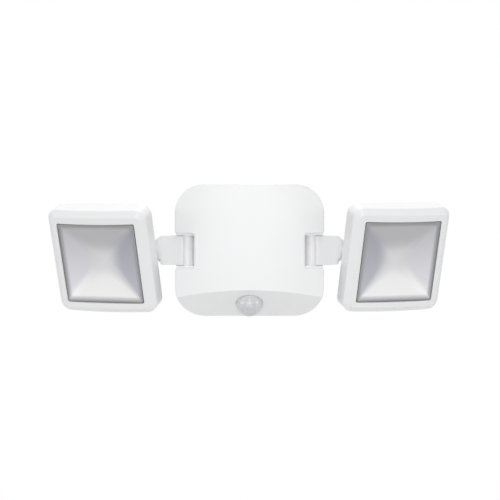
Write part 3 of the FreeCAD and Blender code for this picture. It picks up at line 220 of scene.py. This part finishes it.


def diffuser_with_painted_shade(name):
    """Frosted moulding whose four sides are painted in soft tones of light and shade: lighter below, darker above
    and at the sides.
    """
    nodes = Nodes(name)
    painted_shade_zone = nodes.add("SeparateXYZ")
    nodes.link(nodes.add("Attribute", attribute_name="painted_shade_zone").outputs["Vector"], painted_shade_zone.inputs["Vector"])
    across, up = painted_shade_zone.outputs["X"], painted_shade_zone.outputs["Z"]
    width, height = nodes.math("ABSOLUTE", across), nodes.math("ABSOLUTE", up)
    reach = nodes.math("MAXIMUM", width, height)
    slope = nodes.math("SUBTRACT", height, width)

    soft = nodes.spread(reach, *CREASE_SOFTNESS, start=0.0, end=1.0)
    is_row = nodes.step(slope, soft)
    is_outer = nodes.step(across, soft)
    # painted shade: lower side light, upper side dark, outer and inner sides between
    rows = nodes.blend(nodes.step(up, soft), LENS_PAINTED_SHADES["lower"], LENS_PAINTED_SHADES["upper"])
    columns = nodes.blend(is_outer, LENS_PAINTED_SHADES["inner"], LENS_PAINTED_SHADES["outer"])
    # painted light: the sides lighter towards the foot, darker towards the top
    columns = nodes.blend(1.0, columns, nodes.spread(up, *PAINTED_SIDE_LIGHT, start=-1.0, end=1.0), "MULTIPLY")
    sides = nodes.blend(is_row, columns, rows)

    beyond_middle = nodes.step(nodes.math("SUBTRACT", reach, MIDDLE_SIZE), MIDDLE_SOFTNESS)
    tone = nodes.blend(beyond_middle, LENS_PAINTED_SHADES["middle"], sides)
    # painted highlight along the crease to the outer lower corner
    painted_ridge = nodes.spread(nodes.math("ABSOLUTE", slope), PAINTED_RIDGE_HIGHLIGHT, 0.0, start=0.0, end=RIDGE_WIDTH)
    to_corner = nodes.math("SUBTRACT", across, up)
    painted_ridge = nodes.math("MULTIPLY", painted_ridge, nodes.spread(to_corner, 0.0, 1.0, *RIDGE_SPAN))
    tone = nodes.blend(painted_ridge, tone, LENS_PAINTED_SHADES["painted_ridge"])

    # painted shade along the border by the window gap
    edge = nodes.blend(is_outer, LENS_PAINTED_SHADES["edge"], LENS_PAINTED_SHADES["outer_edge"])
    edge = nodes.blend(is_row, edge, LENS_PAINTED_SHADES["edge"])
    tone = nodes.blend(nodes.spread(reach, 0.0, 1.0, *LENS_SHADED_BORDER), tone, edge)
    cloud = nodes.blend(nodes.noise(scale=30.0, detail=2.0), grey(0.97), grey(1.0))
    nodes.colour(nodes.blend(1.0, tone, cloud, "MULTIPLY"))
    nodes.rough(nodes.noise(scale=120.0, detail=2.0), 0.36, 0.42)
    nodes.bump(nodes.noise(scale=3400.0, detail=2.0), strength=0.06, distance=0.04 * MM)
    nodes.set(IOR=1.5)
    return nodes.material


FACET_SCALE = 330.0              # lens segments of the dome per metre
FACET_LINE = 0.12                # half the width of the line between two, in segments
FACET_JITTER = 0.35              # how uneven they are


def milky_lens(name):
    """Thin milky plastic of the sensor's dome, with the fine lens segments inside it."""
    nodes = Nodes(name)
    facets = nodes.add("TexVoronoi", feature="DISTANCE_TO_EDGE", Scale=FACET_SCALE, Randomness=FACET_JITTER)
    nodes.link(nodes.position(), facets.inputs["Vector"])
    lines = nodes.spread(facets.outputs["Distance"], 0.0, 1.0, start=0.0, end=FACET_LINE)
    tones = nodes.blend(lines, (0.53, 0.535, 0.545), (0.625, 0.63, 0.64))
    cloud = nodes.blend(nodes.noise(scale=260.0, detail=1.0), grey(0.95), grey(1.0))
    nodes.colour(nodes.blend(1.0, tones, cloud, "MULTIPLY"))
    nodes.rough(nodes.noise(scale=300.0, detail=1.0), 0.3, 0.36)
    nodes.bump(lines, strength=0.08, distance=0.08 * MM)
    nodes.set(IOR=1.51, Coat_Weight=0.5, Coat_Roughness=0.06)
    return nodes.material


def worn_metal(name, dark, light, roughness):
    """Plated metal with fine turning marks and cloudy plating."""
    nodes = Nodes(name)
    nodes.shade_between(nodes.noise(scale=500.0, detail=4.0), dark, light)
    nodes.rough(nodes.noise(scale=800.0, detail=3.0), roughness - 0.06, roughness + 0.1)
    nodes.bump(nodes.noise(scale=4000.0, detail=2.0), strength=0.12, distance=0.04 * MM)
    nodes.set(Metallic=1.0)
    return nodes.material


def rubber(name, dark, light):
    """Matt elastomer with a dusty, slightly uneven skin."""
    nodes = Nodes(name)
    nodes.shade_between(nodes.noise(scale=300.0, detail=4.0), dark, light)
    nodes.rough(nodes.noise(scale=500.0, detail=3.0), 0.62, 0.78)
    nodes.bump(nodes.noise(scale=2200.0, detail=3.0), strength=0.2, distance=0.08 * MM)
    return nodes.material


def circuit_board(name, dark, light):
    """Solder mask over faint copper tracks."""
    nodes = Nodes(name)
    tracks = nodes.add("TexBrick", Scale=420.0, Mortar_Size=0.03, Bias=0.0)
    nodes.link(nodes.position(), tracks.inputs["Vector"])
    nodes.shade_between(tracks.outputs["Fac"], light, dark)
    nodes.rough(nodes.noise(scale=400.0, detail=2.0), 0.28, 0.4)
    nodes.bump(tracks.outputs["Fac"], strength=0.15, distance=0.05 * MM)
    return nodes.material


WHITE_DARK = (0.80, 0.803, 0.81)
WHITE_LIGHT = (0.815, 0.818, 0.825)
SLOT_MATERIALS = {
    "white_shell": moulded_plastic("white_shell", WHITE_DARK, WHITE_LIGHT, 0.36, coat=0.15),
    "diffuser_satin": diffuser_with_painted_shade("diffuser_satin"),
    "lens_milk": milky_lens("lens_milk"),
    "tray_white": moulded_plastic("tray_white", (0.80, 0.80, 0.79), (0.84, 0.84, 0.83), 0.3),
    "black_plastic": moulded_plastic("black_plastic", (0.018, 0.018, 0.02), (0.03, 0.03, 0.033), 0.5),
    "gasket": rubber("gasket", (0.012, 0.012, 0.013), (0.03, 0.03, 0.032)),
    "steel": worn_metal("steel", (0.45, 0.45, 0.46), (0.60, 0.60, 0.61), 0.34),
    "spring_steel": worn_metal("spring_steel", (0.50, 0.49, 0.46), (0.66, 0.64, 0.60), 0.26),
    "sensor_can": worn_metal("sensor_can", (0.46, 0.44, 0.38), (0.60, 0.57, 0.50), 0.3),
    "cell_can": moulded_plastic("cell_can", (0.03, 0.032, 0.038), (0.05, 0.053, 0.06), 0.3),
    "board_green": circuit_board("board_green", (0.01, 0.09, 0.035), (0.02, 0.16, 0.06)),
    "board_white": circuit_board("board_white", (0.70, 0.70, 0.68), (0.78, 0.78, 0.76)),
    "component_black": moulded_plastic("component_black", (0.01, 0.01, 0.012), (0.022, 0.022, 0.025), 0.4),
    "led_yellow": moulded_plastic("led_yellow", (0.80, 0.60, 0.10), (0.88, 0.70, 0.16), 0.3),
    "lead_black": rubber("lead_black", (0.012, 0.012, 0.012), (0.026, 0.026, 0.026)),
}


def dress(obj, slot):
    obj.data.materials.clear()
    obj.data.materials.append(SLOT_MATERIALS[slot])


SLOT_OF_NODE = {part["node"]: part["material_slot"] for part in frame["record"]["subparts"]}
for node_name, node_object in frame["nodes"].items():
    dress(node_object, SLOT_OF_NODE[node_name])
for side_name in SIDES:
    dress(frame["nodes"][side_name + "_yaw_washers"], "tray_white")


# ---------------------------------------------------------------- making a new piece
def skin(form, loops, closed=False):
    """Covers a row of loops of points; a closed row ends where it began, others get end faces."""
    rows = [[form.verts.new(point) for point in loop] for loop in loops]
    following = rows[1:] + rows[:1] if closed else rows[1:]
    for near, far in zip(rows, following):
        for i in range(len(near)):
            j = (i + 1) % len(near)
            form.faces.new((near[i], near[j], far[j], far[i]))
    if not closed:
        form.faces.new(rows[0])
        form.faces.new(rows[-1])


def add_object(name, form):
    """Puts a form into the scene."""
    mesh = bpy.data.meshes.new(name)
    form.to_mesh(mesh)
    form.free()
    obj = bpy.data.objects.new(name, mesh)
    bpy.context.scene.collection.objects.link(obj)
    return obj


def add_piece(name, form, slot, sharp_degrees):
    """Puts a form into the scene in its material, smooth apart from edges sharper than an angle."""
    bmesh.ops.recalc_face_normals(form, faces=form.faces[:])
    piece = add_object(name, form)
    dress(piece, slot)
    for polygon in piece.data.polygons:
        polygon.use_smooth = True
    piece.data.set_sharp_from_angle(angle=math.radians(sharp_degrees))
    return piece


# ---------------------------------------------------------------- lens of a head
DISH_DEPTH = 9.0 * MM
DISH_POWER = 1.6                 # how much steeper the dish gets towards its rim
DISH_RINGS = 30
RING_CROWDING = 0.8              # below 1, rings lie closer together towards the rim
CREASE_FADE = 1.5                # how fast the corner creases soften towards the middle
SIDE_POINTS = 14                 # of each side and each corner of a ring
CORNER_POINTS = 8
BORDER_STEPS = 8
LENS_EDGE_DEPTH = 1.5 * MM       # front of the head to the lens's outer edge
LENS_EDGE_ROUND = 0.7 * MM
EDGE_STEPS = 4
LENS_SHARP = 50.0                # degrees from which an edge stays crisp


def square_ring(half_width, half_height, corner, y):
    """Points of a rounded rectangle in the plane y, with the same count for every size."""
    points = []
    for quarter in range(4):
        turn = Matrix.Rotation(quarter * math.pi / 2, 2)
        across, up = (half_width, half_height) if quarter % 2 == 0 else (half_height, half_width)
        for step in range(SIDE_POINTS):
            points.append(turn @ Vector((across, (up - corner) * (2 * step / SIDE_POINTS - 1))))
        centre = Vector((across - corner, up - corner))
        for step in range(CORNER_POINTS):
            angle = math.pi / 2 * step / CORNER_POINTS
            points.append(turn @ (centre + corner * Vector((math.cos(angle), math.sin(angle)))))
    return [Vector((point.x, y, point.y - WINDOW_DROP)) for point in points]


def window_ring(margin, y):
    """Ring with the outline of the window, larger by a margin on each side."""
    return square_ring(WINDOW_WIDTH / 2 + margin, WINDOW_HEIGHT / 2 + margin, LENS_CORNER, y)


def dish_ring(share, y_rim):
    """Ring of the dish at a share of its width: crisp corners at the rim, round in the middle."""
    fade = (1 - share) ** CREASE_FADE
    half = LENS_RIM_HALF * share
    corner = LENS_CORNER * share * (1 - fade) + half * fade
    return square_ring(half, half, min(corner, half), y_rim + DISH_DEPTH * (1 - share ** DISH_POWER))


def lens_rings():
    """Rings from the middle of the front, over the border and the skirt, to the middle of the back."""
    y_dish = -TILT_SETBACK + LENS_RIM_DEPTH
    y_edge = -TILT_SETBACK + LENS_EDGE_DEPTH
    y_flange = -TILT_SETBACK + LENS_FLANGE_DEPTH
    shares = [((step + 1) / DISH_RINGS) ** RING_CROWDING for step in range(DISH_RINGS)]
    rings = [dish_ring(share, y_dish) for share in shares]
    edge_halves = [size / 2 - LENS_GAP - LENS_EDGE_ROUND for size in (WINDOW_WIDTH, WINDOW_HEIGHT)]
    for step in range(1, BORDER_STEPS + 1):
        share = step / BORDER_STEPS
        halves = [LENS_RIM_HALF + (half - LENS_RIM_HALF) * share for half in edge_halves]
        rise = (y_edge - y_dish) * (1 - math.cos(math.pi * share)) / 2
        rings.append(square_ring(*halves, LENS_CORNER, y_dish + rise))
    for step in range(1, EDGE_STEPS + 1):
        angle = math.pi / 2 * step / EDGE_STEPS
        inset = LENS_EDGE_ROUND * (1 - math.sin(angle))
        rings.append(window_ring(-LENS_GAP - inset, y_edge + LENS_EDGE_ROUND * (1 - math.cos(angle))))
    rings.append(window_ring(-LENS_GAP, y_flange))
    rings.append(window_ring(LENS_FLANGE_WIDTH, y_flange))
    rings.append(window_ring(LENS_FLANGE_WIDTH, y_flange + LENS_WALL))
    rings.append(window_ring(-LENS_GAP - LENS_WALL, y_flange + LENS_WALL))
    rings += [dish_ring(share, y_dish + LENS_WALL) for share in reversed(shares)]
    return rings


def mark_painted_shade_zones(mesh, points):
    """Stores where each vertex lies in the dish, in halves of it, for the painted light and shade of the material.
    """
    painted_shade_zone = mesh.attributes.new("painted_shade_zone", "FLOAT_VECTOR", "POINT")
    for entry, point in zip(painted_shade_zone.data, points):
        entry.vector = Vector((point.x, 0.0, point.z + WINDOW_DROP)) / LENS_RIM_HALF


def head_lens(side):
    """Dished lens with a border that rises to the frame, in place of the plainer solid one."""
    place = head_matrix(side)
    rings = lens_rings()
    form = bmesh.new()
    skin(form, [[place @ point for point in ring] for ring in rings])
    piece = add_piece(side + "_lens", form, "diffuser_satin", LENS_SHARP)
    mark_painted_shade_zones(piece.data, [point for ring in rings for point in ring])
    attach(piece, side + "_head_body")
    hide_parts(side + "_diffuser")


for side_name in SIDES:
    head_lens(side_name)


# ---------------------------------------------------------------- shoulder of an arm
SHOULDER_SECTIONS = (            # distance from the yaw axis along the arm, share of its section
    (22.0 * MM, 0.985), (25.3 * MM, 0.985), (28.9 * MM, 0.80), (30.0 * MM, 0.74))
SHOULDER_POINTS = 120
SHOULDER_SHARP = 35.0            # degrees from which an edge stays crisp
HEAD_CLEARANCE = 11.8 * MM       # tilt axis to just short of the head's flat back
HEAD_SWEEP = (math.radians(-16.0), math.radians(61.0))      # a degree beyond the head's tilt range
TINY = 1e-9                      # keeps a division from failing


def arm_section(angle):
    """Radius of the arm's section at an angle from the front downwards, cut back for the head's sweep."""
    forward, down = abs(math.cos(angle)), abs(math.sin(angle))
    radius = min(ARM_HALF_DEPTH / max(forward, TINY), ARM_HALF_HEIGHT / max(down, TINY))
    corner = Vector((ARM_HALF_DEPTH - ARM_ROUND, ARM_HALF_HEIGHT - ARM_ROUND))
    along = corner.dot((forward, down))
    root = along ** 2 - corner.length_squared + ARM_ROUND ** 2
    if root >= 0:
        rounded = along + math.sqrt(root)
        if rounded * forward > corner.x and rounded * down > corner.y:
            radius = rounded
    nearest = max(HEAD_SWEEP[0], min(HEAD_SWEEP[1], angle))
    facing = math.cos(angle - nearest)
    return min(radius, HEAD_CLEARANCE / facing) if facing > 0 else radius


def shoulder(side):
    """Chamfered collar that carries the neck out of the arm's block, behind the head."""
    place = arm_matrix(side)
    angles = [2 * math.pi * (step + 0.5) / SHOULDER_POINTS - math.pi for step in range(SHOULDER_POINTS)]
    loops = []
    for x, share in SHOULDER_SECTIONS:
        loop = []
        for angle in angles:
            radius = arm_section(angle) * share
            loop.append(place @ Vector((x, -radius * math.cos(angle), -radius * math.sin(angle))))
        loops.append(loop)
    form = bmesh.new()
    skin(form, loops)
    piece = add_piece(side + "_shoulder", form, "white_shell", SHOULDER_SHARP)
    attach(piece, side + "_arm_body")


for side_name in SIDES:
    shoulder(side_name)


# ---------------------------------------------------------------- lips inside the notches
NOTCH_WALL = 6.88 * MM           # yaw axis to the inner wall of its notch
NOTCH_SIDE = 10.6 * MM           # yaw axis to just inside the side of the housing
LIP_FRONT = 6.9 * MM             # in front of the yaw axis
LIP_BACK = 15.0 * MM
LIP_LOW = 14.05 * MM             # middle of the arm to the near and far face of a lip
LIP_HIGH = 15.97 * MM
LIP_BEVEL = 0.4 * MM
LIP_POINTS = 48
LIP_SHARP = 30.0                 # degrees from which an edge stays crisp
HUB_CLEARANCE = 6.75 * MM        # radius that stays free for the arm's hub
CHEEK_ANGLE = math.radians(31.0)
CHEEK_STEPS = 8


def lip_outline(inset):
    """Plan of a lip about the yaw axis, one point for each ray: (outward, back)."""
    left, right, front, back = -NOTCH_WALL, NOTCH_SIDE - inset, -LIP_FRONT + inset, LIP_BACK
    corners = ((left, front), (right, front), (right, back), (left, back))
    angles = [math.atan2(y, x) for x, y in corners]
    angles += [2 * math.pi * (step + 0.5) / LIP_POINTS - math.pi for step in range(LIP_POINTS)]
    points = []
    for angle in sorted(angles):
        x, y = math.cos(angle), math.sin(angle)
        reach = min((right if x > 0 else left) / x, (back if y > 0 else front) / y)
        points.append((reach * x, reach * y))
    return points


def at_height(place, plan, height):
    """Lifts a plan to a height and places it."""
    return [place @ Vector((x, y, height)) for x, y in plan]


def notch_lip(side):
    """Thin lips above and below the arm and a cheek beside its hub, which close the notch."""
    place = pivot_matrix(side)
    bevelled, outline = lip_outline(LIP_BEVEL), lip_outline(0.0)
    hub = [Vector(point).normalized() * HUB_CLEARANCE for point in outline]
    section = ((bevelled, LIP_LOW), (outline, LIP_LOW + LIP_BEVEL), (outline, LIP_HIGH),
               (hub, LIP_HIGH), (hub, LIP_LOW))
    form = bmesh.new()
    for level in (-1, 1):
        skin(form, [at_height(place, plan, level * height) for plan, height in section], closed=True)
    angles = [CHEEK_ANGLE * step / CHEEK_STEPS for step in range(-CHEEK_STEPS, CHEEK_STEPS + 1)]
    cheek = [(-HUB_CLEARANCE * math.cos(angle), HUB_CLEARANCE * math.sin(angle)) for angle in angles]
    cheek += [(-NOTCH_WALL, cheek[-1][1]), (-NOTCH_WALL, cheek[0][1])]
    skin(form, [at_height(place, cheek, height) for height in (-LIP_LOW, LIP_LOW)])
    piece = add_piece(side + "_notch_lip", form, "white_shell", LIP_SHARP)
    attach(piece, "housing")


for side_name in SIDES:
    notch_lip(side_name)


# ---------------------------------------------------------------- camera and light
AIM = Vector((0.0, -63.1, 1.2)) * MM
CAMERA_DISTANCE = 1401.0 * MM
CAMERA_ELEVATION = math.radians(3.0)
CAMERA_LENS = 108.0              # both in millimetres, as Blender wants them
CAMERA_SENSOR = 36.0
SHIFT = 0.001                    # half a pixel of the 500 px frame


def make_camera():
    data = bpy.data.cameras.new("camera")
    data.lens = CAMERA_LENS
    data.sensor_width = CAMERA_SENSOR
    data.shift_x = SHIFT
    data.shift_y = -SHIFT
    camera = bpy.data.objects.new("camera", data)
    back = Vector((0.0, -math.cos(CAMERA_ELEVATION), math.sin(CAMERA_ELEVATION)))
    camera.location = AIM + back * CAMERA_DISTANCE
    camera.rotation_euler = (-back).to_track_quat("-Z", "Y").to_euler()
    bpy.context.scene.collection.objects.link(camera)
    bpy.context.scene.camera = camera


LAMP_DISTANCE = 2.0              # metres from the object
SOFTBOXES = {                    # degrees sideways and up from the front, size in metres, watts
    "softbox_front": (0.0, 2.0, (1.3, 0.35), 10.0),
    "softbox_upper": (0.0, 36.0, (0.15, 0.15), 2.5),
    "softbox_high": (0.0, 65.0, (0.6, 0.56), 6.6),
    "softbox_top": (0.0, 116.0, (0.8, 0.56), 15.0),
    "softbox_left": (-70.0, 5.0, (0.6, 0.56), 5.3),
    "softbox_right": (70.0, 5.0, (0.6, 0.56), 5.3),
}


def softbox(name, sideways, elevation, size, power):
    """Rectangular lamp that faces the object."""
    data = bpy.data.lights.new(name, "AREA")
    data.shape = "RECTANGLE"
    data.size, data.size_y = size
    data.energy = power
    lamp = bpy.data.objects.new(name, data)
    across, up = math.radians(sideways), math.radians(elevation)
    away = Vector((math.sin(across) * math.cos(up), -math.cos(across) * math.cos(up), math.sin(up)))
    lamp.location = AIM + away * LAMP_DISTANCE
    lamp.rotation_euler = away.to_track_quat("Z", "Y").to_euler()
    bpy.context.scene.collection.objects.link(lamp)


WORLD_STRENGTH = 0.53            # of the soft light from all sides


def make_world():
    """White surroundings: full to the camera and in reflections, dimmer as a source of soft light."""
    world = bpy.data.worlds.new("studio")
    world.use_nodes = True
    bpy.context.scene.world = world
    tree = world.node_tree
    background = tree.nodes["Background"]
    background.inputs["Color"].default_value = (1, 1, 1, 1)
    path = tree.nodes.new("ShaderNodeLightPath")
    seen = path.outputs["Is Camera Ray"]
    for ray in ("Is Glossy Ray", "Is Transmission Ray"):
        either = tree.nodes.new("ShaderNodeMath")
        either.operation = "MAXIMUM"
        tree.links.new(seen, either.inputs[0])
        tree.links.new(path.outputs[ray], either.inputs[1])
        seen = either.outputs["Value"]
    level = tree.nodes.new("ShaderNodeMapRange")
    level.inputs["To Min"].default_value = WORLD_STRENGTH
    level.inputs["To Max"].default_value = 1.0
    tree.links.new(seen, level.inputs["Value"])
    tree.links.new(level.outputs["Result"], background.inputs["Strength"])


FLOOR_PLACE = (0.0, -0.05, -0.36)
FLOOR_RADIUS = 0.44
FLOOR_SEGMENTS = 96


def make_floor():
    form = bmesh.new()
    bmesh.ops.create_circle(form, cap_ends=True, segments=FLOOR_SEGMENTS, radius=FLOOR_RADIUS)
    floor = add_object("floor", form)
    floor.location = FLOOR_PLACE
    nodes = Nodes("floor_paper")
    nodes.shade_between(nodes.noise(scale=12.0, detail=3.0), grey(0.86), grey(0.88))
    nodes.rough(nodes.noise(scale=40.0, detail=3.0), 0.75, 0.85)
    floor.data.materials.append(nodes.material)


make_camera()
for lamp_name, settings in SOFTBOXES.items():
    softbox(lamp_name, *settings)
make_world()
make_floor()

view = bpy.context.scene.view_settings
view.view_transform = "Standard"
